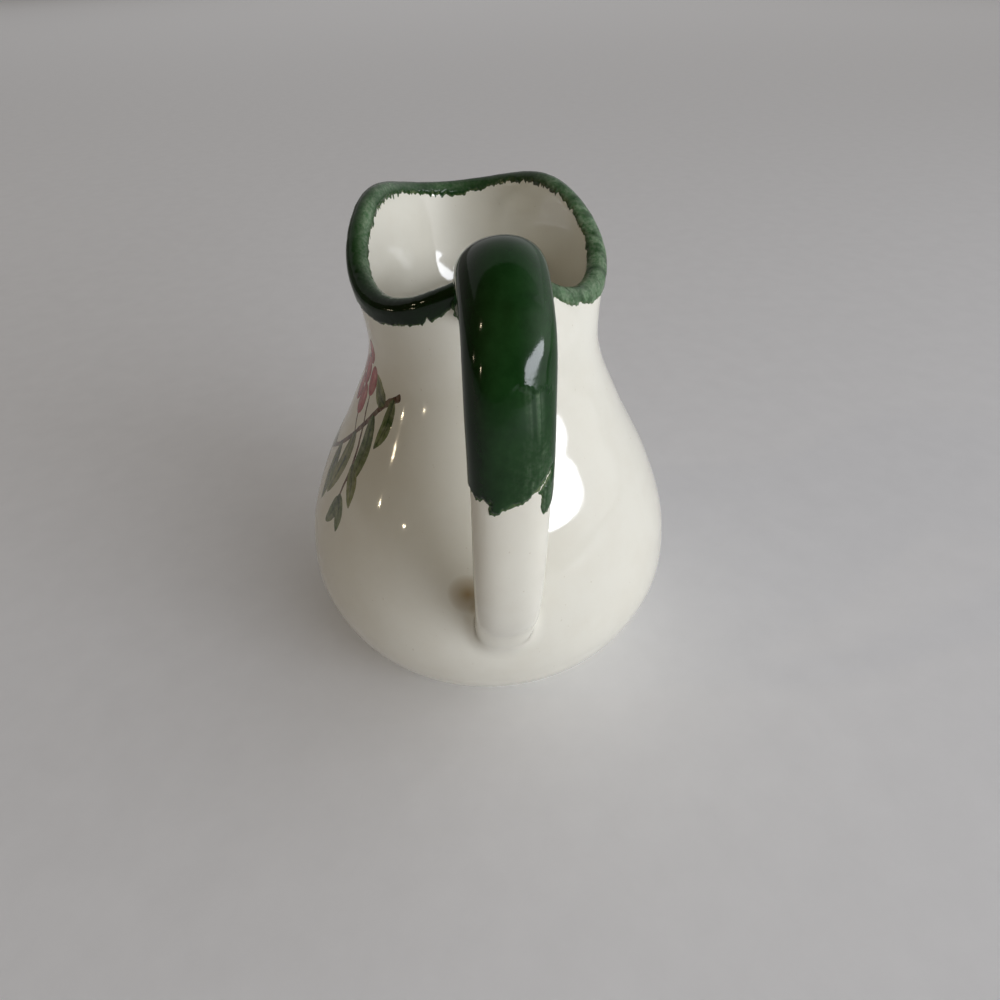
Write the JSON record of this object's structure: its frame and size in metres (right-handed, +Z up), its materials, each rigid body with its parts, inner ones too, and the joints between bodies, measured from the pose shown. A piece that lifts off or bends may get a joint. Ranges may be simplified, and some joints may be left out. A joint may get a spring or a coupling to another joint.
{
  "type": "milk jug",
  "caption": "Small pear-shaped milk jug with a narrow neck, a wavy mouth that rises into a pouring lip, and a strap handle arching above the rim.",
  "frame": {"origin": "centre of the foot ring on the plane that the jug stands on", "axes": "+Z up, +X to the pouring side, -X to the handle, +Y across the jug"},
  "size_m": [0.102, 0.085, 0.1105],
  "materials": {
    "cream_glaze": "glossy",
    "green_glaze": "glossy"
  },
  "bodies": {
    "root": {"body": "cream_glaze", "handle": "cream_glaze", "upper_handle_joint": "cream_glaze", "lower_handle_joint": "cream_glaze", "rim_glaze": "green_glaze", "handle_glaze": "green_glaze"}
  },
  "joints": []
}
